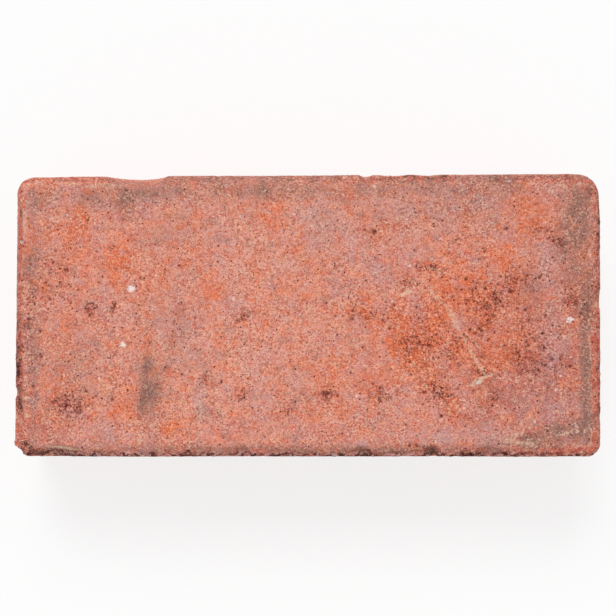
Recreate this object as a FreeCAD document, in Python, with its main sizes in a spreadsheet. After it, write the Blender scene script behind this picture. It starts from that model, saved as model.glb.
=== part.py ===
"""A solid clay building brick, worn at its arrises: one moulded and fired piece.

Frame: millimetres, +Z up. The origin is at the centre of the bottom bed face. +X runs along the
brick's length and +Y across its width, so the left end is at -X and the front side at -Y.

The bed face is a little out of square: the back side falls away towards the left end, and the left
end leans in towards the back. The four upright corners and all arrises are rounded by wear, and
scoops along the arrises of the top bed are an old brick's chips and spalls.
"""

import FreeCAD
import Part
import Sketcher

import os

# Sizes in millimetres.
SIZES = {
    "brick_length": 250.0,
    "brick_width": 121.0,
    "brick_height": 65.0,
    # How far the back left corner lies inside the true rectangle, across and along the brick.
    "back_fall": 1.4,
    "left_lean": 1.3,
    # Radii of the upright corners.
    "front_left_radius": 7.0,
    "front_right_radius": 5.0,
    "back_right_radius": 9.5,
    "back_left_radius": 8.0,
    # Radii worn on the edges of the two bed faces.
    "top_arris_radius": 3.5,
    "bottom_arris_radius": 2.5,
    # How far out of both faces a chip's scoop is centred, as a share of its own semi-axes: 0 would
    # cut upright walls, and towards 0.7 the scar is flatter.
    "chip_standoff": 0.5,
}

# Chips on the top arrises: the side that each is on, then its cells. Its place is a share of that
# side, counted from the left or front end. The sizes in millimetres are its length along the
# arris, its bite into the bed face and its drop down the side.
CHIP_CELLS = ("place", "length", "bite", "drop")
CHIPS = {
    "corner_break": ("front", 0.075, 26.0, 5.5, 7.0),
    "front_bite": ("front", 0.392, 7.0, 5.0, 5.0),
    "front_nick": ("front", 0.592, 8.0, 5.0, 6.0),
    "front_notch": ("front", 0.714, 7.0, 5.5, 7.0),
    "front_flake": ("front", 0.804, 13.0, 5.0, 6.0),
    "left_flake": ("left", 0.150, 18.0, 4.6, 5.5),
    "left_notch": ("left", 0.228, 6.0, 4.8, 9.0),
    "right_nick": ("right", 0.140, 6.0, 4.4, 6.5),
    "right_dent": ("right", 0.552, 13.0, 4.6, 8.0),
    "back_spall": ("back", 0.210, 28.0, 6.0, 26.0),
    "back_notch": ("back", 0.600, 6.0, 4.8, 14.0),
    "back_nick": ("back", 0.660, 7.0, 4.4, 8.0),
}

# For each side: the axis that it runs along, that axis's size, which way the side faces, and how
# far it stands from the middle of the brick at a chip's place.
SIDES = {
    "front": ("x", "brick_length", -1, "dims.brick_width / 2"),
    "back": ("x", "brick_length", 1, "dims.brick_width / 2 - dims.back_fall * (1 - {place})"),
    "left": ("y", "brick_width", -1, "dims.brick_length / 2 - dims.left_lean * {place}"),
    "right": ("y", "brick_width", 1, "dims.brick_length / 2"),
}

NODE = "brick"


def add_sheet(doc):
    """The driving dimensions, one aliased cell each."""
    cells = dict(SIZES)
    for chip, (_, *values) in CHIPS.items():
        cells.update({f"{chip}_{cell}": value for cell, value in zip(CHIP_CELLS, values)})
    sheet = doc.addObject("Spreadsheet::Sheet", "dims")
    for row, (alias, value) in enumerate(cells.items(), start=1):
        sheet.set(f"A{row}", alias)
        sheet.set(f"B{row}", str(value))
        sheet.setAlias(f"B{row}", alias)
    doc.recompute()
    return sheet


def add_outline(body, sheet):
    """The bed face: a rectangle about the origin whose back left corner is pulled in."""
    sketch = body.newObject("Sketcher::SketchObject", "bed_outline")
    sketch.AttachmentSupport = [
        (plane, "") for plane in body.Origin.OriginFeatures if plane.Role == "XY_Plane"
    ]
    sketch.MapMode = "FlatFace"
    half_length = sheet.brick_length / 2
    half_width = sheet.brick_width / 2
    corners = {
        "front_left": (-half_length, -half_width),
        "front_right": (half_length, -half_width),
        "back_right": (half_length, half_width),
        "back_left": (sheet.left_lean - half_length, half_width - sheet.back_fall),
    }
    distances = {name: ["dims.brick_length / 2", "dims.brick_width / 2"] for name in corners}
    distances["back_left"][0] += " - dims.left_lean"
    distances["back_left"][1] += " - dims.back_fall"

    points = [FreeCAD.Vector(x, y, 0) for x, y in corners.values()]
    for start, end in zip(points, points[1:] + points[:1]):
        sketch.addGeometry(Part.LineSegment(start, end))
    for side in range(4):
        sketch.addConstraint(Sketcher.Constraint("Coincident", side, 2, (side + 1) % 4, 1))
    for side, (name, corner) in enumerate(corners.items()):
        for axis, place, distance in zip("XY", corner, distances[name]):
            # A distance runs from the lower of the origin and the corner, so it is positive.
            ends = (side, 1, -1, 1) if place < 0 else (-1, 1, side, 1)
            index = sketch.addConstraint(Sketcher.Constraint(f"Distance{axis}", *ends, abs(place)))
            sketch.renameConstraint(index, f"{name}_{axis}")
            sketch.setExpression(f"Constraints.{name}_{axis}", distance)
    return sketch


def add_block(body, outline):
    """The unworn block, padded up from its bottom bed."""
    pad = body.newObject("PartDesign::Pad", "block")
    pad.Profile = outline
    pad.setExpression("Length", "dims.brick_height")
    outline.Visibility = False
    return pad


def add_fillet(body, base, name, radius, is_wanted):
    """A fillet on the edges of base that is_wanted picks by their bounding boxes."""
    edges = [f"Edge{i}" for i, e in enumerate(base.Shape.Edges, 1) if is_wanted(e.BoundBox)]
    fillet = body.newObject("PartDesign::Fillet", name)
    fillet.Base = (base, edges)
    fillet.setExpression("Radius", f"dims.{radius}")
    body.Document.recompute()
    return fillet


def round_corners(body, base):
    """Each upright corner has a radius of its own."""
    for across in ("front", "back"):
        for along in ("left", "right"):

            def is_corner(box):
                upright_line = box.ZLength > 1 > box.XLength + box.YLength
                in_front = box.Center.y < 0
                on_left = box.Center.x < 0
                return upright_line and in_front == (across == "front") and on_left == (along == "left")

            base = add_fillet(body, base, f"{across}_{along}", f"{across}_{along}_radius", is_corner)
    return base


def add_chip(body, chip, side):
    """An ellipsoid scoop that stands half out of the top bed and half out of the side."""
    axis, size, facing, face = SIDES[side]
    place, length, bite, drop = (f"dims.{chip}_{cell}" for cell in CHIP_CELLS)
    standoff = "dims.chip_standoff"
    # The scoop meets both faces at these shares of its semi-axes.
    reach = f"(sqrt(1 - {standoff} ^ 2) - {standoff})"
    half_span = f"sqrt(1 - 2 * {standoff} ^ 2)"

    along_radius = f"{length} / 2 / {half_span}"
    inward_radius = f"{bite} / {reach}"
    upright_radius = f"{drop} / {reach}"
    along_place = f"({place} - 0.5) * dims.{size}"
    outward_place = f"{facing} * ({face.format(place=place)} + {standoff} * {inward_radius})"
    upright_place = f"dims.brick_height + {standoff} * {upright_radius}"

    scoop = body.newObject("PartDesign::SubtractiveEllipsoid", chip)
    scoop.Angle1, scoop.Angle2, scoop.Angle3 = -90, 90, 360
    scoop.setExpression("Radius1", upright_radius)
    scoop.setExpression("Radius2", along_radius if axis == "x" else inward_radius)
    scoop.setExpression("Radius3", inward_radius if axis == "x" else along_radius)
    scoop.setExpression("Placement.Base.x", along_place if axis == "x" else outward_place)
    scoop.setExpression("Placement.Base.y", outward_place if axis == "x" else along_place)
    scoop.setExpression("Placement.Base.z", upright_place)
    return scoop


def build_brick(doc):
    sheet = add_sheet(doc)
    body = doc.addObject("PartDesign::Body", NODE)
    body.Label = NODE
    body.Placement = FreeCAD.Placement()
    block = add_block(body, add_outline(body, sheet))
    doc.recompute()

    worn = round_corners(body, block)
    top = sheet.brick_height
    for name, level in (("top_arris", top), ("bottom_arris", 0)):
        worn = add_fillet(
            body, worn, name, f"{name}_radius",
            lambda box: box.ZLength < 1e-3 and abs(box.Center.z - level) < 1e-3,
        )

    for chip, (side, *_) in CHIPS.items():
        before = body.Shape.Volume
        add_chip(body, chip, side)
        doc.recompute()
        if not body.Shape.Volume < before - 1:
            raise RuntimeError(f"{chip} removes no clay")
    return body


def check(doc, body):
    for item in doc.Objects:
        if {"Invalid", "Error"} & set(item.State):
            raise RuntimeError(f"{item.Name} failed: {item.State}")
    if body.Shape.isNull() or not body.Shape.isValid() or len(body.Shape.Solids) != 1:
        raise RuntimeError(f"{body.Label} is not one valid solid")


document = FreeCAD.newDocument("clay_brick")
brick = build_brick(document)
document.recompute()
check(document, brick)
os.makedirs("parts", exist_ok=True)
brick.Shape.exportStep(f"parts/{brick.Label}.step")
box = brick.Shape.optimalBoundingBox()
print(f"{brick.Label}: {box.XLength:.2f} x {box.YLength:.2f} x {box.ZLength:.2f} mm")
print(f"volume {brick.Shape.Volume / 1e6:.4f} L, {len(brick.Shape.Faces)} faces")
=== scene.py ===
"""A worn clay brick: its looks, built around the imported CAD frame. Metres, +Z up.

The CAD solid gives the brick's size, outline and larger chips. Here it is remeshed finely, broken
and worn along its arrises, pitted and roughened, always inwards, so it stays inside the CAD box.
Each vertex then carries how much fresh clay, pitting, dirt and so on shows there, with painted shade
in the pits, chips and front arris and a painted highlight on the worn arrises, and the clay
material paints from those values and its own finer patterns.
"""

import itertools
import math

import bmesh
import bpy
import numpy as np
from mathutils import Matrix, Vector, kdtree
from mathutils.bvhtree import BVHTree


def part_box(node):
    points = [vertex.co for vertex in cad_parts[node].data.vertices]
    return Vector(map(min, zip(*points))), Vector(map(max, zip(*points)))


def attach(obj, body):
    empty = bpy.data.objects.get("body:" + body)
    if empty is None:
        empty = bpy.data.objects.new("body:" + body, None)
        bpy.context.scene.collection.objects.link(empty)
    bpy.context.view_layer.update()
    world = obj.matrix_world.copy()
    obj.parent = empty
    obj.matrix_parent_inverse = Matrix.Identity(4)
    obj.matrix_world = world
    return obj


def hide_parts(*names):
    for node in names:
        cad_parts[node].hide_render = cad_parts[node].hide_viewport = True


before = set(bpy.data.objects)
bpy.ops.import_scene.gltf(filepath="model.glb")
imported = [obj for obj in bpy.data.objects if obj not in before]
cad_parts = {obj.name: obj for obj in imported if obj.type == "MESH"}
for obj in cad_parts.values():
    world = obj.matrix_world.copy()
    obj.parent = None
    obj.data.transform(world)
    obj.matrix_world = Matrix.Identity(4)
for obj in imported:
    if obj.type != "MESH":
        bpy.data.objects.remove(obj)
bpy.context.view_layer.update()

MM = 0.001
LOW, HIGH = (np.array(corner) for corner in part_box("brick"))
MIDDLE = (LOW + HIGH) / 2
HALF = (HIGH - LOW) / 2
TOP = HIGH[2]

VOXEL = 0.5 * MM
TRIANGLES = 196_000
BROKEN_PIECES = 130
PITS = 3600
DEEPEST_WEAR = 2.2 * MM
SEED = 7

# ---------------------------------------------------------------- patterns over points in space


def random_numbers(cells, seed):
    """A repeatable random number in 0..1 for each row of whole numbers."""
    mixed = cells @ np.array([73856093, 19349663, 83492791]) + seed * 2654435761
    for _ in range(2):
        mixed = (mixed ^ (mixed >> 15)) * 2246822519 & 0xFFFFFFFF
    return (mixed ^ (mixed >> 13) & 0xFFFFFFFF) / 0xFFFFFFFF


def noise(points, size, seed, octaves=1):
    """Smooth noise in about -1..1, with features about size across in its first octave."""
    total = np.zeros(len(points))
    for octave in range(octaves):
        place = points / size * 2**octave
        cell = np.floor(place).astype(np.int64)
        offset = place - cell
        fade = offset**3 * (offset * (offset * 6 - 15) + 10)
        for corner in itertools.product((0, 1), repeat=3):
            weight = np.prod(np.where(corner, fade, 1 - fade), axis=1)
            slopes = [random_numbers(cell + corner, seed + 10 * octave + axis) for axis in range(3)]
            slopes = np.stack(slopes, axis=1) * 2 - 1
            total += 1.8 / 2**octave * weight * np.sum(slopes * (offset - corner), axis=1)
    return total


def smooth_step(value, start, end):
    share = np.clip((value - start) / (end - start), 0, 1)
    return share * share * (3 - 2 * share)


def spots(points, places):
    """The sum of soft spots on the top bed, each x, y, half length, half width, turn, strength."""
    total = np.zeros(len(points))
    for x, y, long, wide, turn, strength in places:
        dx, dy = points[:, 0] - x * MM, points[:, 1] - y * MM
        c, s = math.cos(math.radians(turn)), math.sin(math.radians(turn))
        along, across = (dx * c + dy * s) / (long * MM), (dy * c - dx * s) / (wide * MM)
        total += strength * np.exp(-(along**2) - across**2)
    return total * smooth_step(points[:, 2], TOP - 10 * MM, TOP - 5 * MM)


def strokes(points, lines):
    """The strongest of the streaks on the top bed at each point: (x, y) to (x, y), width, strength."""
    strongest = np.zeros(len(points))
    wobble = np.stack([noise(points, 5 * MM, seed, 2) for seed in (31, 32)], axis=1) * 0.5 * MM
    for *ends, width, strength in lines:
        start, end = np.array(ends[:2]) * MM, np.array(ends[2:]) * MM
        along = end - start
        from_start = points[:, :2] + wobble - start
        share = np.clip(from_start @ along / (along @ along), 0, 1)
        away = np.linalg.norm(from_start - share[:, None] * along, axis=1) / (width * 0.65 * MM)
        strongest = np.maximum(strongest, strength * np.exp(-(away**2)))
    return strongest * smooth_step(points[:, 2], TOP - 10 * MM, TOP - 4 * MM)


def arris_distance(points):
    """How far each point lies from the nearest sharp edge of the brick's box."""
    inside = np.sort(HALF - np.abs(points - MIDDLE), axis=1)
    return np.hypot(inside[:, 0], inside[:, 1])


# ---------------------------------------------------------------- the shape


def mesh_array(mesh, name):
    values = np.empty(len(mesh.vertices) * 3)
    mesh.vertices.foreach_get(name, values)
    return values.reshape(-1, 3)


def set_points(mesh, points):
    """Moves the vertices, none of them out of the CAD box."""
    mesh.vertices.foreach_set("co", np.clip(points, LOW, HIGH).ravel())
    mesh.update()


def modified(piece, kind, **settings):
    """The piece's mesh after one modifier."""
    modifier = piece.modifiers.new(kind.lower(), kind)
    for name, value in settings.items():
        setattr(modifier, name, value)
    changed = piece.evaluated_get(bpy.context.evaluated_depsgraph_get())
    mesh = bpy.data.meshes.new_from_object(changed)
    piece.modifiers.clear()
    piece.data = mesh
    return mesh


def arris_points(count, rng):
    """Random places on the twelve edges, most of them on the top bed's four."""
    for _ in range(count):
        on_top = rng.random() < 0.62
        upright = not on_top and rng.random() < 0.3
        signs = rng.choice((-1.0, 1.0), 3)
        place = MIDDLE + signs * HALF
        if upright:
            run = 2
        else:
            place[2] = TOP if on_top else LOW[2]
            run = 0 if rng.random() < 0.67 else 1
        place[run] = rng.uniform(LOW[run], HIGH[run])
        yield place, run


# Breaks with a place of their own: x and y in mm, how far over the top bed they are centred, and
# their half sizes along x, y and z, all in mm.
LARGE_BREAKS = (
    (-128, -64.5, 2, 8, 10.5, 18), (-108, -63, 1, 12, 4.2, 6), (-116, -62, 1, 5, 3.6, 9),
    (-84.5, 60, 0, 2.2, 2.6, 5), (-91, 60.5, 0, 5, 2, 4), (-51, -60.5, 1, 2.2, 3.6, 3),
    (-27, -61, 1, 2.6, 4.4, 4), (23, -61.5, 1, 4, 4, 5), (52, -61, 1, 1.8, 3.4, 4),
    (57, -61.5, 1, 2.4, 2.6, 5), (75, -62, 1, 9, 2.8, 5), (27, 61, 1, 2.5, 2, 4),
    (-125.5, -24, 1, 2.4, 6, 7), (-126, -39, 1, 2.4, 5, 6), (126, 2, 1, 2.4, 6, 7),
    (125.5, -46, 1, 1.8, 3, 5), (-1, -62, 1, 5, 2.6, 4), (38, -62, 1, 4, 2.6, 4),
    (-61, 60.5, -2, 3, 1.8, 6), (-76, 57, 0, 4, 1.6, 3), (-69, 56, 1, 3, 1.4, 3),
    (36, 62.3, -2, 12, 2.9, 14), (51, 62.2, -2, 10, 2.7, 14), (5, 62, -1, 4, 2.6, 9),
    (-14, 61.8, -1, 3, 2.6, 9), (-38, 61.6, -1, 3.5, 2.6, 9), (66, 62, -1, 4, 2.5, 8),
    (82, 62, -1, 3, 2.3, 7), (104, 62.3, -1, 4, 2.6, 8), (-104, 61, -1, 5, 2.4, 8),
)


def add_lump(lumps, place, radii, roughness, rng):
    """An icosphere with a jittered skin; place and radii in metres."""
    smoothness = 3 if roughness < 0.2 else 1
    lump = bmesh.ops.create_icosphere(lumps, subdivisions=smoothness, radius=1)["verts"]
    for vertex in lump:
        vertex.co = vertex.co * float(rng.uniform(1 - roughness, 1 + roughness))
    matrix = Matrix.LocRotScale(Vector(place), None, Vector(radii))
    bmesh.ops.transform(lumps, matrix=matrix, verts=lump)


def broken_bits(rng):
    """One mesh of rough, flattened lumps along the arrises, which are cut out of the brick."""
    lumps = bmesh.new()
    for x, y, rise, *radii in LARGE_BREAKS:
        add_lump(lumps, (x * MM, y * MM, TOP + rise * MM), np.array(radii) * MM, 0.07, rng)
    for place, run in arris_points(BROKEN_PIECES, rng):
        length = rng.gamma(2.0, 1.3) + 1.2
        radii = np.full(3, rng.uniform(0.9, 1.9))
        radii[run] = length
        outward = np.sign(place - MIDDLE)
        outward[run] = 0
        centre = place - outward * rng.uniform(0.3, 0.75) * MM
        add_lump(lumps, centre, radii * MM, 0.2, rng)
    mesh = bpy.data.meshes.new("broken_bits")
    lumps.to_mesh(mesh)
    lumps.free()
    return mesh


def cut_away(piece, mesh):
    cutter = bpy.data.objects.new("broken_bits", mesh)
    bpy.context.scene.collection.objects.link(cutter)
    settings = {"operation": "DIFFERENCE", "solver": "EXACT", "use_self": True, "object": cutter}
    modified(piece, "BOOLEAN", **settings)
    bpy.data.objects.remove(cutter)


# Soft spots on the top bed where wear has rounded the brick more: x, y, half length and half width
# in mm, turn in degrees, and how deep in mm.
WORN_SPOTS = ((123, 53, 9, 9, 0, 0.9), (124, 30, 4, 10, 0, 0.3), (-112, 59, 8, 4, 0, 0.3))

# Where pits crowd together on the top bed, in the same rows but for their last value, a strength.
CROWDED_PITS = (
    (-100, -39, 9, 5.5, -15, 0.75), (87, 14, 7, 3, 30, 0.5), (80, 8, 5, 2.5, 20, 0.4),
    (78, -39, 2, 3.5, -20, 0.9), (56, -33, 7, 3.5, -15, 0.8), (8, -34, 3, 2.5, 0, 0.9),
    (-92, 3, 2.5, 3, 0, 0.9), (-26, 0, 3, 2, 0, 0.9), (105, 32, 4, 2, -30, 0.9),
    (51, 20, 7, 1.5, 0, 0.7), (76, 6, 14, 9, 0, 0.25), (60, -12, 22, 14, 0, 0.3),
    (-82, 3, 2, 3, 0, 0.6), (-43, -27, 2, 2, 0, 0.6), (-118, -8, 4, 22, 0, 0.4),
    (-28, -34, 3, 3, 0, 0.5), (24, 2, 10, 6, 0, 0.3), (112, 6, 3, 4, 0, 0.5),
    (118, 2, 2, 5, 0, 0.7), (100, -20, 8, 12, 0, 0.35), (-8, -40, 4, 3, 0, 0.5),
    (28, 35, 1.5, 1.5, 40, 0.8), (45, -12, 8, 6, 0, 0.3), (92, -16, 4, 3, 0, 0.5),
    (-108, 14, 8, 14, 0, 0.3), (-57, -24, 3, 2, 0, 0.5), (73, -26, 4, 3, 0, 0.6),
    (98, 36, 3, 2, 0, 0.5), (30, -34, 5, 4, 0, 0.4), (42, 14, 3, 3, 0, 0.5),
)


def pit_depths(points, rng):
    """How deep the pits are at each point, in metres."""
    tree = kdtree.KDTree(len(points))
    for index, point in enumerate(points):
        tree.insert(point, index)
    tree.balance()
    crowded = 0.06 + 0.22 * smooth_step(points[:, 0], 0, HALF[0]) + 7 * spots(points, CROWDED_PITS)
    centres = rng.choice(len(points), PITS, p=crowded / crowded.sum())
    depth = np.zeros(len(points))
    for centre in points[centres]:
        radius = min(rng.gamma(2.2, 0.13) + 0.35, 1.05) * MM
        squeeze = rng.uniform(0.3, 1.0)
        direction = rng.uniform(0, math.pi)
        across = np.array((math.sin(direction), -math.cos(direction), 0.3))
        for place, index, distance in tree.find_range(centre, radius):
            sideways = abs(np.dot(np.array(place) - centre, across)) / radius
            away = math.hypot(distance / radius, sideways * (1 / squeeze - 1))
            if away < 1:
                depth[index] = max(depth[index], radius * 0.85 * (1 - away**2))
    return depth


def depths_under_skin(points, before_chips=False):
    """How far each point lies under the CAD solid's skin, or its hull: the skin before its chips."""
    skin = bmesh.new()
    skin.from_mesh(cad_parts["brick"].data)
    if before_chips:
        bmesh.ops.delete(skin, geom=skin.faces[:], context="FACES_ONLY")
        bmesh.ops.convex_hull(skin, input=skin.verts)
    tree = BVHTree.FromBMesh(skin)
    skin.free()
    return np.array([tree.find_nearest(point)[3] for point in points])


def wear_down(piece, rng):
    """Roughens the skin inwards, crumbles the arrises and scars, and sinks the pits. The shares of
    depth are in mm."""
    mesh = piece.data
    points, normals = mesh_array(mesh, "co"), mesh_array(mesh, "normal")
    edge = 1 - smooth_step(arris_distance(points), 2.5 * MM, 5.5 * MM)
    scar = smooth_step(depths_under_skin(points), 0.2 * MM, 0.8 * MM)
    wave = 0.5 + 0.5 * noise(points, 45 * MM, 1)
    grit = 0.5 + 0.5 * noise(points, 2.2 * MM, 2, 2)
    crumble = smooth_step(noise(points, 7 * MM, 3, 3), -0.1, 0.5)
    crumbs = 0.5 + 0.5 * noise(points, 1.8 * MM, 4, 2)
    facets = 1 - np.abs(noise(points, 6 * MM, 5, 2))
    broken = np.maximum(edge, scar)
    depth = 0.30 * wave + 0.13 * grit + broken * (0.8 * crumble + 0.7 * crumbs) + 0.7 * scar * facets
    depth = (depth + spots(points, WORN_SPOTS)) * MM + pit_depths(points, rng)
    moved = points - normals * np.clip(depth, 0, DEEPEST_WEAR)[:, None]
    set_points(mesh, moved)


# ---------------------------------------------------------------- what shows where on the skin

# Soft spots on the top bed, in the rows that spots() takes: x, y, half length and half width in mm,
# turn in degrees, strength. Each list is a kind of colour or dirt.
DIRT_SPOTS = (
    (-70, -36, 2, 10, -8, 0.5), (-67.5, -20, 1.5, 9, 4, 0.5), (-79, 50, 5, 5, 0, 0.55),
    (-114, 49, 7, 4.5, 10, 0.5), (-93, 50, 6, 4, 0, 0.4), (-63, 51, 12, 3, 0, 0.2),
    (-70, 52, 7, 4, 0, 0.4), (-20, 53, 45, 4, 0, 0.55), (70, 54, 40, 3, 0, 0.3),
    (114, 40, 6.5, 15, 0, 1.1), (112, 20, 5, 8, 0, 0.6), (118, -22, 2.4, 30, 0, 1.2),
    (119, 4, 2.6, 12, 0, 0.9), (108, -50, 14, 3.5, 15, 1.1), (92, -54, 16, 3, 0, 0.6),
    (-66, -28, 4.5, 15, 0, 0.75), (-44, -22, 3, 4, 0, 0.2), (-116, 8, 3, 30, 0, 0.3),
    (-116, -30, 2, 22, 0, 0.5), (60, 46, 36, 10, 0, 0.25), (-100, -22, 12, 12, 0, 0.25),
    (-60, 33, 9, 5, 10, 0.3), (-55, -8, 5, 16, 0, 0.3), (94, 15, 5, 16, 0, 0.3),
    (30, -57, 70, 2.0, 0, 0.5), (-60, -57, 50, 2.0, 0, 0.45), (-119, 22, 2.5, 5, 0, 0.6),
    (122, 50, 2, 5, 0, 0.6), (4, 36, 6, 8, 0, 0.2), (-64, 4, 4, 8, 0, 0.25),
    (-20, 58.5, 90, 2.4, 0, 0.5), (80, 58.5, 40, 2.0, 0, 0.5), (-74, 57, 10, 3, 0, 0.5),
)
ORANGE_SPOTS = (
    (-80, 24, 7, 9, 0, 0.6), (-97, 36, 5, 12, 0, 0.7), (-96, 20, 5, 8, 0, 0.5),
    (-42, 14, 10, 14, 0, 0.5), (-62, 18, 7, 5, 0, 0.6), (-15, 42, 5, 8, 0, 0.8),
    (90, 44, 6, 6, 0, 1.1), (97, 40, 7, 9, 0, 1.2), (82, 24, 13, 8, 0, 0.8), (60, 16, 8, 9, 0, 0.5),
    (78, 8, 18, 8, 0, 0.7), (38, 0, 16, 18, 0, 0.7), (55, -12, 24, 15, 0, 0.9),
    (84, -12, 10, 10, 0, 0.8), (-60, -48, 9, 5, 0, 0.7), (-78, -40, 9, 5, 0, 0.6),
    (-104, -15, 5, 14, 0, 0.5), (-32, -52, 9, 4, 0, 0.7), (-5, 10, 10, 6, 0, 0.5),
    (92, -8, 8, 10, 0, 0.6), (60, -44, 12, 6, 0, 0.5), (-58, 8, 14, 8, 0, 0.4),
    (10, -30, 20, 10, 0, 0.3), (12, -50, 5, 3, 0, 0.7), (44, -51, 3, 6, 0, 0.8),
    (16, -42, 3, 4, 0, 0.6), (88, 30, 4, 5, 0, 0.6), (68, 6, 4, 5, 0, 0.8),
)
RED_SPOTS = (
    (104, -22, 14, 26, 0, 0.55), (95, -40, 24, 12, 0, 0.5), (108, 12, 10, 18, 0, 0.4),
    (85, -5, 18, 18, 0, 0.25), (-110, -50, 12, 6, 0, 0.4), (110, 22, 4, 4, 0, 0.6),
    (110, -44, 6, 4, 0, 0.6), (-72, 44, 4, 4, 0, 0.4), (86, -30, 12, 6, 0, 0.4),
    (28, 20, 5, 6, 0, 0.3), (70, -44, 8, 4, 0, 0.4),
)
PALE_SPOTS = (
    (-30, 20, 60, 28, 0, 0.7), (-20, -20, 60, 26, 0, 0.55), (15, 45, 40, 12, 0, 0.4),
    (55, 40, 22, 12, 0, 0.4), (-50, -35, 22, 16, 0, 0.4), (-90, 5, 20, 26, 0, 0.2),
)
LAVENDER_SPOTS = (
    (62, 47, 30, 8, 0, 0.6), (-45, -38, 3, 12, 0, 0.9), (104, -10, 6, 20, 0, 0.5),
    (118, -25, 2, 8, 0, 0.9), (100, -42, 14, 8, 0, 0.5), (-15, 13, 3, 6, 0, 0.7),
    (-100, -52, 3, 4, 0, 0.6), (102, 52, 9, 4, 0, 0.8), (20, 30, 14, 8, 0, 0.4),
    (-116, -34, 2.5, 9, 0, 0.8), (-66, 50, 8, 4, 0, 0.7), (2, 44, 6, 5, 0, 0.6),
    (-50, 5, 8, 12, 0, 0.4), (60, -51, 24, 4, 0, 0.6), (78, -53, 8, 3, 0, 0.8),
    (-86, 6, 4, 12, 0, 0.4), (100, 22, 4, 10, 0, 0.7), (45, 25, 3, 5, 0, 0.8),
    (30, 18, 3, 6, 0, 0.6), (-74, 12, 3, 4, 0, 0.7), (-84, -52, 4, 5, 0, 0.7),
    (0, -50, 16, 5, 0, 0.4), (22, -54, 6, 3, 0, 0.7), (46, 2, 4, 8, 0, 0.5),
)
# Where fresh clay shows along the arrises, and where they are dark and purplish.
FRESH_SPOTS = (
    (-110, 57.5, 12, 3, 0, 1.0), (-91, 56.5, 10, 3, 0, 0.9), (-79, 55.5, 6, 2.5, 0, 0.8),
    (26, 58, 5, 2.5, 0, 0.9), (45, 58.5, 16, 2.2, 0, 0.8), (92, 58, 7, 2.5, 0, 0.5),
    (110, 56.5, 12, 3, 0, 0.9), (121, 50, 4, 7, 0, 0.8), (122.5, 22, 3, 24, 0, 0.55),
    (122, -5, 3.5, 7, 0, 0.9), (121.5, -28, 4, 22, 0, 1.1), (117, -53, 7, 5, 0, 1.1),
    (100, -58, 14, 3, 0, 0.9), (60, -59, 5, 1.5, 0, 0.5), (-53, -58.5, 8, 2, 0, 0.9),
    (-20, -58.5, 7, 2.5, 0, 0.9), (-103, -58.5, 16, 2.6, 0, 1.0), (30, -59.5, 14, 1.2, 0, 0.5),
    (-120, 47, 4, 9, 0, 1.0), (-122, 30, 2.5, 8, 0, 0.8), (-122.5, 5, 2, 18, 0, 0.6),
    (-121.5, -30, 3.2, 18, 0, 1.1), (-120, -50, 4, 7, 0, 0.9),
)
MAROON_SPOTS = (
    (-122.5, -28, 2.5, 18, 0, 1.4), (-122, 28, 2, 8, 0, 0.6), (-104, -58.6, 16, 2.0, -2, 1.5),
    (45, -59.5, 3, 1, 0, 0.8), (66, -59.5, 4, 1, 0, 0.7), (124.2, 27, 1.4, 22, 0, 1.5),
    (90, -60, 8, 0.8, 0, 0.7), (112, 58.8, 10, 1.4, 0, 1.1), (-20, -59.7, 5, 1.0, 0, 0.7),
    (124.2, -24, 1.3, 28, 0, 1.2), (-78, 57.5, 5, 1.6, 0, 0.5), (86, 59.3, 12, 0.9, 0, 0.5),
    (10, 59.6, 20, 0.7, 0, 0.5), (-60, -59.7, 8, 1.0, 0, 0.6), (40, 59.3, 8, 0.9, 0, 0.6),
    (-122.8, 5, 1.4, 16, 0, 0.6),
)
# Streaks of old mortar: x, y to x, y, width in mm, strength.
MORTAR_STREAKS = (
    (44, 14, 51, 11, 1.6, 0.3), (50, 12, 59, 4.5, 1.9, 0.45), (59, 4.5, 62, -2, 1.5, 0.5),
    (62, -2, 67, -11.5, 1.5, 0.55), (67, -11.5, 72, -20, 1.1, 0.6), (72, -20, 75.5, -26, 1.0, 0.6),
    (62.5, -3, 72.5, -13.5, 0.7, 0.5), (70, -29, 73, -27.5, 2.0, 0.8),
    (73, -27.5, 78, -25, 0.9, 1.0), (39.5, 8.2, 43, 10.3, 1.3, 1.0), (74, -27, 75, -34, 0.8, 0.4),
    (49, 20, 60, 19, 0.8, 0.4), (-71, -50, -71, -54.5, 1.0, 0.9), (-45, -36, -45.5, -47, 1.2, 0.5),
    (-98, -19, -84, -19, 0.8, 0.3), (100, 2, 122, 4, 0.7, 0.35), (108, -9, 118, -7, 0.8, 0.45),
    (97, -53, 112, -49, 0.8, 0.4), (84, -53, 97, -55, 1.6, 0.5), (86, -51, 92, -50.5, 0.9, 0.5),
    (-110, -55.5, -96, -57, 1.0, 0.6), (95, -27, 104, -26, 0.7, 0.4),
    (112, -49.5, 121, -48.5, 0.7, 0.6), (-106, 56, -96, 55.5, 0.8, 0.4),
    (-84, 55, -68, 55.5, 0.9, 0.5), (100, 53, 112, 52.5, 0.9, 0.4),
)
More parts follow.
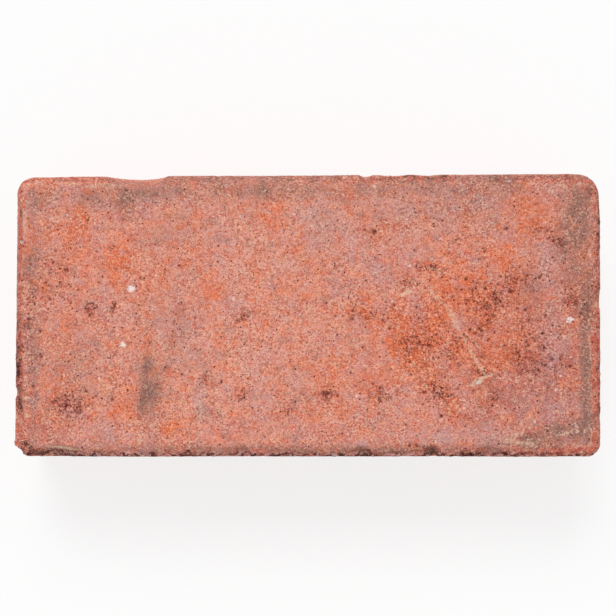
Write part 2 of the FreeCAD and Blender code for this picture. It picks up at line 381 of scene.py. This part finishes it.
# Specks of lime and pale grit.
LIME_SPECKS = (
    (111, -2, 1.9, 1.2, 35, 1.3), (107.4, -26, 0.9, 0.9, 0, 0.9), (105, -31.6, 1.1, 0.7, 20, 0.9),
    (105, -18, 1.4, 0.6, 20, 0.7), (114, -35, 0.9, 0.9, 0, 0.8), (114, -38.5, 0.8, 0.8, 0, 0.8),
    (113.8, -44, 0.8, 0.8, 0, 0.7), (113.5, -47, 0.8, 1.0, 0, 0.8),
    (107.4, -48.7, 0.8, 0.8, 0, 0.7), (93, -46, 0.9, 0.8, 0, 0.7), (93, -49, 1.0, 0.8, 0, 0.7),
    (85, -47.5, 0.8, 0.8, 0, 0.7), (116, -58, 1.3, 0.8, 10, 0.8), (72.3, -28.5, 1.9, 1.0, 25, 0.6),
    (84, -22, 1.6, 0.9, 0, 0.5), (87, -21, 0.8, 1.0, 0, 0.8), (60, 28, 0.9, 0.9, 0, 0.8),
    (69, 18, 0.8, 0.8, 0, 0.6), (85.4, 57, 1.0, 0.7, 0, 0.8), (89, 46.5, 0.9, 0.9, 0, 0.6),
    (102, 53, 1.5, 0.7, 0, 0.6), (43, 21.3, 1.4, 1.2, 0, 0.7), (30.7, 35.7, 1.7, 1.3, 40, 0.6),
    (36, 6, 1.0, 0.8, 0, 0.8), (-74.6, 11.3, 1.5, 1.3, 0, 1.5), (-78, -12.3, 1.3, 1.2, 0, 1.4),
    (-61.5, 43.4, 1.4, 0.6, 0, 0.7), (-121, 31, 1.3, 1.0, 0, 0.7), (-44, -17.5, 1.3, 1.0, 0, 0.6),
    (-75, -46.5, 1.2, 0.7, 0, 0.7), (-121.5, -53.5, 1.4, 1.2, 0, 0.55),
    (-105, -56, 2.2, 0.8, -15, 0.5), (-40.5, -4.5, 1.2, 1.0, 0, 0.6), (-38, -46, 0.8, 1.0, 0, 0.8),
    (-41.5, -41.5, 0.9, 0.8, 0, 0.7), (20.7, -34.5, 0.9, 1.8, 0, 0.6), (3.8, 49, 1.0, 0.9, 0, 0.7),
    (-8, 37, 1.2, 1.4, 0, 0.5), (-31, 7, 1.0, 2.4, 20, 0.5), (28, 54.5, 0.9, 1.0, 0, 0.8),
    (-16, 34, 0.9, 0.8, 0, 0.6), (-87, 44, 0.8, 0.8, 0, 0.5), (122, 16, 0.8, 1.1, 0, 0.7),
    (120, -6, 1.0, 1.0, 0, 0.5), (-109, -6, 1.3, 1.0, 0, 0.5),
)
# Where soot has greyed the bed over the dirt.
SOOT_SPOTS = (
    (-67, -27, 3, 9, 0, 0.6), (-79, 49, 4, 5, 0, 0.5), (-44, -42, 3, 3, 0, 0.5),
    (112, -47, 9, 4, 15, 0.5), (118, -20, 2, 18, 0, 0.5),
)
# Dark red and black: mostly painted shade in the chips of the broken front arris, which faces away from
# the light, and in the chips of the others, with a few dark stains on the bed.
CHIP_SHADE_AND_STAIN_SPOTS = (
    (-108, -58.3, 13, 1.5, -3, 1.2), (-90, -60, 8, 0.9, 0, 0.9), (-69, -59, 5, 1.1, 0, 0.9),
    (-41, -59.5, 7, 0.9, 0, 0.8), (-26, -59, 3.5, 1.2, 0, 0.9), (1, -59.5, 9, 0.9, 0, 1.0),
    (13, -59.7, 12, 0.8, 0, 1.0), (-12, -59.6, 6, 0.8, 0, 0.9), (23, -58.5, 4, 1.6, 0, 1.0),
    (38, -59.8, 7, 0.8, 0, 0.8), (53, -58, 4, 2.2, -35, 1.0), (64, -59.5, 6, 1.1, 0, 1.0),
    (76, -59, 8, 1.2, 0, 1.0), (96, -60, 12, 0.7, 0, 0.7), (-123, -24, 1.6, 9, 0, 1.0),
    (-122.5, -38, 1.4, 6, 0, 0.7), (-123.5, -5, 1.1, 8, 0, 0.4), (-119, -55, 3, 2.5, 30, 0.7),
    (-82, 58, 3, 0.9, 0, 0.7), (26, 59, 2.2, 1.0, 0, 0.9), (44, 59.3, 4, 0.7, 0, 0.7),
    (58, 59, 2, 0.8, 0, 0.7), (123.5, 36, 0.8, 12, 0, 0.6), (123, -20, 1.0, 8, 0, 0.5),
    (97, 16, 3, 1.2, 20, 0.5), (28.5, 35.5, 0.8, 2.0, -30, 1.2),
)


def mark_skin(mesh):
    """Stores what the clay material paints from, one value in 0..1 for each vertex."""
    points = mesh_array(mesh, "co")
    below = depths_under_skin(points) / MM
    missing = depths_under_skin(points, before_chips=True) / MM
    from_arris = arris_distance(points) / MM
    ragged = noise(points, 4 * MM, 21, 3)
    blot = 1 + 0.8 * noise(points, 9 * MM, 22, 3)
    mottle = noise(points, 14 * MM, 23, 3)
    cloud = noise(points, 32 * MM, 24, 3)
    off_top = 1 - smooth_step(points[:, 2], TOP - 9 * MM, TOP - 3 * MM)
    border = 1 - smooth_step(from_arris + 1.6 * ragged, 4.3, 4.9)
    exposed = spots(points, FRESH_SPOTS) + off_top * (0.5 + mottle)
    exposed = smooth_step(exposed + 0.5 * ragged, 0.3, 0.5)
    # Painted highlight: a pale line along the inner edge of the worn arrises, where the break catches the
    # light.
    lip_highlight = np.exp(-(((from_arris + 1.6 * ragged - 5.2) / 0.6) ** 2)) * exposed
    scar = smooth_step(missing, 0.9, 1.4) * (1 - smooth_step(from_arris, 9, 12))
    scar = np.maximum(scar, smooth_step(missing, 1.3, 1.7))
    behind = smooth_step(points[:, 1], 0, 30 * MM)
    rim = 1 - smooth_step(from_arris + 1.2 * ragged, 2.4, 3.6)
    in_front = smooth_step(-points[:, 1], HALF[1] - 3.4 * MM, HALF[1] - 1.2 * MM)
    right = smooth_step(points[:, 0], 10 * MM, 60 * MM)
    speckle = spots(points, CROWDED_PITS) * blot + 0.1 * mottle + 0.15 * border + 0.06 * right
    values = {
        "wear": np.maximum(border * exposed, scar * (0.45 + 0.7 * ragged)),
        "lip_highlight": lip_highlight,
        # Painted shade: darker the deeper the skin lies under the CAD solid's, in the pits and hollows.
        "pit_shade": (below - 0.42 - 1.2 * border) / 1.4 * (1 - 0.6 * scar),
        "crowd": speckle + 0.12 * off_top * mottle,
        "mortar": strokes(points, MORTAR_STREAKS) * np.clip(0.8 + 0.6 * ragged, 0, 1),
        "lime": spots(points, LIME_SPECKS) * (1 + 0.3 * ragged),
        # Painted shade along the front arris, which is turned from the light, and more lightly along the
        # rims of the other arrises.
        "shade": np.maximum(in_front * (0.85 + 0.6 * ragged), rim * (0.35 + 0.6 * ragged)) * (1 - off_top),
        "dirt": spots(points, DIRT_SPOTS) * blot + off_top * (0.35 * mottle + 0.5 * cloud)
        + 0.7 * scar * behind * (1 + ragged),
        "orange": spots(points, ORANGE_SPOTS) * blot + 0.4 * mottle - 0.7 * off_top * cloud,
        "dull_red": spots(points, RED_SPOTS) * blot,
        "lavender": spots(points, LAVENDER_SPOTS) * blot - 0.2 * mottle,
        "maroon": spots(points, MAROON_SPOTS) * (0.9 + 0.5 * ragged),
        "pale": spots(points, PALE_SPOTS) + 0.2 * mottle + off_top * (0.4 - 0.6 * cloud),
        "shade_and_stain": spots(points, CHIP_SHADE_AND_STAIN_SPOTS) * (0.75 + ragged),
        "soot": spots(points, SOOT_SPOTS) * blot,
    }
    for name, value in values.items():
        mesh.attributes.new(name, "FLOAT", "POINT").data.foreach_set("value", np.clip(value, 0, 1))


# The sides of the brick's box as they lie in the texture map: axis and sign that the side faces, the
# two axes that run along it, and its column and row.
MAP_SIDES = (
    (2, 1, (0, 1), 0, 0), (2, -1, (0, 1), 0, 1), (1, -1, (0, 2), 0, 2), (1, 1, (0, 2), 0, 3),
    (0, -1, (1, 2), 1, 0), (0, 1, (1, 2), 1, 1),
)
MAP_GAP = 4 * MM


def unfold(mesh):
    """Maps each face onto the side of the box that the unworn brick faces there."""
    cad = bmesh.new()
    cad.from_mesh(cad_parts["brick"].data)
    tree = BVHTree.FromBMesh(cad)
    cad.free()
    loops = np.empty(len(mesh.loops), dtype=np.int32)
    mesh.loops.foreach_get("vertex_index", loops)
    corners = mesh_array(mesh, "co")[loops].reshape(-1, 3, 3)
    normals = np.array([tree.find_nearest(centre)[1] for centre in corners.mean(axis=1)])
    facing = np.abs(normals).argmax(axis=1)
    positive = np.take_along_axis(normals, facing[:, None], axis=1)[:, 0] > 0
    length, width, height = HIGH - LOW
    columns = (0, length + MAP_GAP)
    rows = ((0, width, 2 * width, 2 * width + height), (0, height))
    places = np.empty((len(corners), 3, 2))
    for axis, sign, along, column, row in MAP_SIDES:
        chosen = (facing == axis) & (positive == (sign > 0))
        start = np.array((columns[column], rows[column][row] + row * MAP_GAP)) - LOW[list(along)]
        places[chosen] = corners[chosen][:, :, list(along)] + start
    whole = 2 * width + 2 * height + 4 * MAP_GAP
    mesh.uv_layers.new(name="OFBake").data.foreach_set("uv", (places / whole).ravel())


# ---------------------------------------------------------------- the clay material


def colour(red, green, blue):
    """An sRGB colour in 0..255, as the linear colour that a shader reads."""
    channels = (value / 255 for value in (red, green, blue))
    return (*(c / 12.92 if c < 0.04045 else ((c + 0.055) / 1.055) ** 2.4 for c in channels), 1)


class Nodes:
    """Short names for the shader nodes that the materials use. Sizes are in millimetres."""

    def __init__(self, material):
        material.use_nodes = True
        self.tree = material.node_tree
        self.surface = self.tree.nodes["Principled BSDF"]
        self.place = self.add("ShaderNodeTexCoord").outputs["Object"]

    def add(self, kind, inputs=(), **settings):
        node = self.tree.nodes.new(kind)
        for name, value in settings.items():
            setattr(node, name, value)
        for key, value in dict(inputs).items():
            if isinstance(value, bpy.types.NodeSocket):
                self.tree.links.new(value, node.inputs[key])
            else:
                node.inputs[key].default_value = value
        return node

    def math(self, operation, first, second=0.0):
        return self.add("ShaderNodeMath", {0: first, 1: second}, operation=operation).outputs[0]

    def value(self, name):
        return self.add("ShaderNodeAttribute", attribute_name=name).outputs["Fac"]

    def ramp(self, value, start, end, low=0.0, high=1.0):
        inputs = {"Value": value, "From Min": start, "From Max": end, "To Min": low, "To Max": high}
        return self.add("ShaderNodeMapRange", inputs, interpolation_type="SMOOTHSTEP").outputs[0]

    def times(self, first, second):
        return self.math("MULTIPLY", first, second)

    def mix(self, factor, first, second):
        """The first colour where factor is 0, and the second where it is 1."""
        inputs = {0: factor, 6: first, 7: second}
        return self.add("ShaderNodeMix", inputs, data_type="RGBA", clamp_factor=True).outputs[2]

    def noise(self, size, detail=2.0, roughness=0.5, shift=0.0, output="Fac"):
        """Noise of features about size across; shift moves to another part of the pattern."""
        moved = self.add("ShaderNodeVectorMath", {0: self.place, 1: (shift,) * 3}, operation="ADD")
        inputs = {"Vector": moved.outputs[0], "Scale": 1 / (size * MM)}
        inputs.update({"Detail": detail, "Roughness": roughness})
        return self.add("ShaderNodeTexNoise", inputs).outputs[output]

    def crackle(self, size, width, shift=0.0):
        """1 along a broken net of fine cracks around cells of this size; width is a share of it."""
        colours = self.noise(size * 0.7, 2, 0.6, shift, "Color")
        spread = {0: colours, 1: (size * MM * 0.8,) * 3, 2: self.place}
        warped = self.add("ShaderNodeVectorMath", spread, operation="MULTIPLY_ADD").outputs[0]
        inputs = {"Vector": warped, "Scale": 1 / (size * MM)}
        cells = self.add("ShaderNodeTexVoronoi", inputs, feature="DISTANCE_TO_EDGE")
        line = self.ramp(cells.outputs["Distance"], width * 0.4, width, 1, 0)
        return self.times(line, self.ramp(self.noise(size * 1.3, 2, 0.5, shift), 0.46, 0.56))

    def specks(self, size, share, radius=0.45, shift=0.0):
        """1 inside ragged specks in cells of this size; share of the cells hold one."""
        inputs = {"Vector": self.place, "Scale": 1.6 / (size * MM), "Detail": 1.0}
        ragged = self.add("ShaderNodeTexNoise", inputs).outputs["Color"]
        spread = {0: ragged, 1: (size * MM * 0.9,) * 3, 2: self.place}
        ragged = self.add("ShaderNodeVectorMath", spread, operation="MULTIPLY_ADD").outputs[0]
        moved = self.add("ShaderNodeVectorMath", {0: ragged, 1: (shift,) * 3}, operation="ADD")
        inputs = {"Vector": moved.outputs[0], "Scale": 1 / (size * MM)}
        cells = self.add("ShaderNodeTexVoronoi", inputs)
        red_green_blue = self.add("ShaderNodeSeparateColor", {0: cells.outputs["Color"]}).outputs
        chosen = self.math("LESS_THAN", red_green_blue[0], share)
        edge = self.times(self.ramp(red_green_blue[1], 0, 1, 0.5, 1.2), radius)
        inside = self.ramp(self.math("SUBTRACT", edge, cells.outputs["Distance"]), 0, radius * 0.4)
        return self.times(inside, chosen)


SALMON = colour(237, 157, 133)
PINK = colour(224, 154, 144)
PALE = colour(248, 178, 156)
LAVENDER = colour(212, 162, 160)
RUST = colour(242, 124, 80)
ROSE = colour(216, 118, 106)
BRICK_RED = colour(190, 92, 72)
DULL_RED = colour(180, 100, 90)
FRESH_CLAY = colour(212, 98, 80)
PALE_CLAY = colour(228, 146, 124)
MAROON = colour(124, 44, 50)
DUST = colour(148, 108, 97)
EMBER = colour(184, 74, 50)
GREY = colour(116, 88, 84)
PIT = colour(98, 38, 30)
BLACK = colour(30, 12, 12)
FISSURE_SHADE = colour(66, 24, 28)
FLAKE = colour(236, 180, 174)
SAND = colour(244, 192, 164)
MORTAR = colour(234, 192, 166)
LIME = colour(250, 236, 230)


def patches(n, size, start, end, most, shift):
    """Patches about size across: 0 where their noise is under start, and most where over end."""
    return n.ramp(n.noise(size, 4, 0.6, shift), start, end, 0, most)


def paint_skin(n, fine):
    """The sound skin: salmon and pink, mottled all over, with patches of colour, dirt and soot."""
    skin = n.mix(patches(n, 9, 0.42, 0.58, 1, 0), SALMON, PINK)
    skin = n.mix(n.times(n.value("pale"), 0.6), skin, PALE)
    skin = n.mix(patches(n, 6, 0.52, 0.66, 0.5, 0.2), skin, DUST)
    skin = n.mix(patches(n, 5, 0.52, 0.62, 0.6, 0.4), skin, RUST)
    skin = n.mix(patches(n, 4, 0.54, 0.66, 0.6, 0.6), skin, ROSE)
    patchy = n.ramp(n.noise(5, 4, 0.65, 0.1), 0.4, 0.6, 0.45, 1.5)
    for name, paint in (("orange", RUST), ("dull_red", DULL_RED), ("lavender", LAVENDER)):
        skin = n.mix(n.times(n.value(name), patchy), skin, paint)
    skin = n.mix(n.times(n.value("dirt"), n.ramp(fine, 0.3, 0.6, 0.6, 1)), skin, DUST)
    return n.mix(n.times(n.value("soot"), 0.6), skin, GREY)


def paint_breaks(n, skin, fine):
    """Fresh clay along the arrises and in the chips, with maroon, pale lips with a painted highlight, and
    dark red and black, mostly painted shade in the chips.
    """
    fresh = n.mix(n.ramp(n.noise(2.5, 4, 0.65, 0.7), 0.42, 0.6), FRESH_CLAY, PALE_CLAY)
    clay = n.mix(n.value("wear"), skin, fresh)
    cracked = n.noise(3.0, 5, 0.75, 0.9)
    clay = n.mix(n.times(n.value("maroon"), n.ramp(cracked, 0.35, 0.55, 1, 0.3)), clay, MAROON)
    # A painted highlight on the pale lips of the worn arrises.
    clay = n.mix(n.times(n.value("lip_highlight"), n.ramp(fine, 0.4, 0.6, 0.1, 0.9)), clay, SAND)
    # Painted shade in the chips, with a few stains: dark red, then black where it is strongest.
    shade_and_stain = n.times(n.value("shade_and_stain"), n.ramp(cracked, 0.42, 0.5, 0.15, 1.5))
    clay = n.mix(n.ramp(shade_and_stain, 0.15, 0.5), clay, PIT)
    return n.mix(n.ramp(shade_and_stain, 0.5, 0.85), clay, BLACK)


def paint_grain(n, clay, fine, finer, finest):
    """Specks of colour, and sandy grain with dark gaps, rougher in some places than in others."""
    clay = n.mix(patches(n, 3.2, 0.53, 0.63, 0.4, 1.7), clay, RUST)
    clay = n.mix(patches(n, 3.0, 0.54, 0.64, 0.4, 2.3), clay, LAVENDER)
    clay = n.mix(n.ramp(fine, 0.3, 0.5, 0.5, 0.0), clay, BRICK_RED)
    rough = n.ramp(n.noise(10, 4, 0.6, 3.1), 0.38, 0.62, 0.45, 1.3)
    clay = n.mix(n.times(rough, n.ramp(finer, 0.38, 0.46, 0.6, 0.0)), clay, BRICK_RED)
    clay = n.mix(n.times(rough, n.ramp(finer, 0.53, 0.61, 0.0, 0.65)), clay, SAND)
    clay = n.mix(n.ramp(finest, 0.28, 0.5, 0.5, 0.0), clay, PIT)
    return n.mix(n.ramp(finest, 0.55, 0.75, 0.0, 0.4), clay, SAND)


def cracks_and_pinholes(n, crowd):
    """Fine cracks, and pinholes, all over: both grow denser where pits crowd together."""
    cracks = n.times(n.crackle(2.2, 0.12), n.ramp(crowd, 0.02, 0.8, 0.12, 0.7))
    large = n.specks(1.2, n.ramp(crowd, 0, 1, 0.02, 0.35), 0.40)
    small = n.specks(0.8, n.ramp(crowd, 0, 1, 0.05, 0.45), 0.45, 0.5)
    return cracks, n.math("MAXIMUM", large, small)


def paint_openings(n, clay, finer, cracks, pinholes):
    """Cracks and pinholes, the arrises' flakes and fissures with painted shade along them, dust over them,
    and painted shade in the sunken pits.
    """
    crowd, shade, pit_shade = n.value("crowd"), n.value("shade"), n.value("pit_shade")
    clay = n.mix(n.times(crowd, n.ramp(finer, 0.38, 0.54, 0.9, 0.0)), clay, EMBER)
    clay = n.mix(cracks, clay, PIT)
    clay = n.mix(n.times(pinholes, 0.85), clay, PIT)
    crevices = n.noise(2.4, 4, 0.7, 1.9)
    clay = n.mix(n.times(shade, n.ramp(crevices, 0.42, 0.48, 0.95, 0)), clay, FLAKE)
    # Painted shade along the arrises: dark fissures where the crevice noise is high.
    clay = n.mix(n.times(shade, n.ramp(crevices, 0.48, 0.53, 0, 0.9)), clay, FISSURE_SHADE)
    clay = n.mix(n.times(n.value("dirt"), n.ramp(finer, 0.4, 0.52, 0.7, 0.1)), clay, DUST)
    clay = n.mix(n.times(n.value("soot"), 0.3), clay, GREY)
    # Painted shade in the pits and hollows: dark red, then black in the deepest.
    clay = n.mix(n.ramp(pit_shade, 0.05, 0.5, 0, 0.85), clay, PIT)
    return n.mix(n.ramp(pit_shade, 0.45, 1.0, 0, 0.8), clay, BLACK)


def paint_mortar_and_lime(n, clay, finer):
    """Streaks of old mortar, and specks of lime, some with a place of their own."""
    broken = n.ramp(finer, 0.38, 0.6, 0.4, 1)
    streaks = n.ramp(n.times(n.value("mortar"), broken), 0.02, 0.4, 0, 0.8)
    clay = n.mix(streaks, clay, MORTAR)
    lime = n.ramp(n.times(n.value("lime"), n.ramp(finer, 0.3, 0.6, 0.7, 1.1)), 0.25, 0.8)
    lime = n.math("MAXIMUM", lime, n.times(n.specks(1.5, 0.04, 0.28, 0.8), 0.5))
    return n.mix(n.times(lime, 0.9), clay, LIME)


def clay_material():
    material = bpy.data.materials.new("fired_clay")
    n = Nodes(material)
    fine = n.noise(1.8, 4, 0.65)
    finer = n.noise(0.9, 3, 0.7, 0.3)
    finest = n.noise(0.5, 1, 0.5, 1.1)
    cracks, pinholes = cracks_and_pinholes(n, n.value("crowd"))
    clay = paint_breaks(n, paint_skin(n, fine), fine)
    clay = paint_grain(n, clay, fine, finer, finest)
    clay = paint_openings(n, clay, finer, cracks, pinholes)
    clay = paint_mortar_and_lime(n, clay, finer)

    n.tree.links.new(clay, n.surface.inputs["Base Color"])
    n.tree.links.new(n.ramp(fine, 0.3, 0.7, 0.98, 0.82), n.surface.inputs["Roughness"])
    n.surface.inputs["Specular IOR Level"].default_value = 0.25
    height = n.math("ADD", n.times(finer, 0.7), fine)
    height = n.math("ADD", height, n.times(finest, 0.4))
    height = n.math("SUBTRACT", height, n.times(n.math("MAXIMUM", pinholes, cracks), 0.9))
    bump = n.add("ShaderNodeBump", {"Height": height, "Strength": 0.8, "Distance": 0.5 * MM})
    n.tree.links.new(bump.outputs[0], n.surface.inputs["Normal"])
    return material


# ---------------------------------------------------------------- the scene


def build_brick():
    rng = np.random.default_rng(SEED)
    piece = bpy.data.objects.new("clay_brick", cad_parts["brick"].data.copy())
    bpy.context.scene.collection.objects.link(piece)
    cut_away(piece, broken_bits(rng))
    modified(piece, "REMESH", mode="VOXEL", voxel_size=VOXEL)
    wear_down(piece, rng)
    faces = sum(len(face.vertices) - 2 for face in piece.data.polygons)
    mesh = modified(piece, "DECIMATE", ratio=TRIANGLES / faces, use_collapse_triangulate=True)
    set_points(mesh, mesh_array(mesh, "co"))
    mark_skin(mesh)
    unfold(mesh)
    mesh.shade_smooth()
    mesh.materials.clear()
    mesh.materials.append(clay_material())
    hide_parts("brick")
    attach(piece, "root")


# How much of the floor's look is plain white; the rest is its lit surface, with the shadow.
FLOOR_GLOW = 0.75
FLOOR_REACH = 3.0


def build_floor():
    mesh = bpy.data.meshes.new("floor")
    signs = ((-1, -1), (1, -1), (1, 1), (-1, 1))
    corners = [(x * FLOOR_REACH, y * FLOOR_REACH, LOW[2]) for x, y in signs]
    mesh.from_pydata(corners, [], [(0, 1, 2, 3)])
    floor = bpy.data.objects.new("floor", mesh)
    bpy.context.scene.collection.objects.link(floor)
    material = bpy.data.materials.new("white_floor")
    n = Nodes(material)
    n.surface.inputs["Base Color"].default_value = (0.97, 0.97, 0.97, 1)
    n.surface.inputs["Roughness"].default_value = 1.0
    n.surface.inputs["Specular IOR Level"].default_value = 0.0
    # Seen straight on it is mostly plain white, and the rest of it keeps the brick's shadow.
    rays = n.add("ShaderNodeLightPath").outputs
    seen = n.math("MAXIMUM", rays["Is Camera Ray"], rays["Is Glossy Ray"])
    seen = n.math("MAXIMUM", seen, rays["Is Transmission Ray"])
    white = n.add("ShaderNodeEmission", {"Color": (1, 1, 1, 1), "Strength": 1.0}).outputs[0]
    inputs = {0: n.math("MULTIPLY", seen, FLOOR_GLOW), 1: n.surface.outputs[0], 2: white}
    mixed = n.add("ShaderNodeMixShader", inputs).outputs[0]
    n.tree.links.new(mixed, n.tree.nodes["Material Output"].inputs["Surface"])
    mesh.materials.append(material)


# The camera stands over the brick, a little towards its back, and takes in this much of the width
# of the top bed's plane.
CAMERA_HEIGHT = 0.75
CAMERA_PLACE = (0.2 * MM, 3.05 * MM)
VIEW_WIDTH = 0.2608


def build_camera():
    camera = bpy.data.cameras.new("camera")
    camera.sensor_width = 36
    camera.lens = camera.sensor_width * CAMERA_HEIGHT / VIEW_WIDTH
    camera.clip_start = 0.01
    holder = bpy.data.objects.new("camera", camera)
    holder.location = (*CAMERA_PLACE, TOP + CAMERA_HEIGHT)
    bpy.context.scene.collection.objects.link(holder)
    bpy.context.scene.camera = holder


# A white world for even light, and a broad sun from over the brick's back, for its shadow.
WORLD_STRENGTH = 0.62
SUN_STRENGTH = 1.45
SUN_ANGLE = 25
SUN_TURN = (-38, -8, 0)


def build_lights():
    world = bpy.data.worlds.new("studio")
    world.use_nodes = True
    world.node_tree.nodes["Background"].inputs["Color"].default_value = (1, 1, 1, 1)
    world.node_tree.nodes["Background"].inputs["Strength"].default_value = WORLD_STRENGTH
    bpy.context.scene.world = world
    light = bpy.data.lights.new("key", "SUN")
    light.energy = SUN_STRENGTH
    light.angle = math.radians(SUN_ANGLE)
    holder = bpy.data.objects.new("key", light)
    holder.rotation_euler = [math.radians(turn) for turn in SUN_TURN]
    bpy.context.scene.collection.objects.link(holder)


build_brick()
build_floor()
build_camera()
build_lights()
bpy.context.scene.view_settings.view_transform = "Standard"
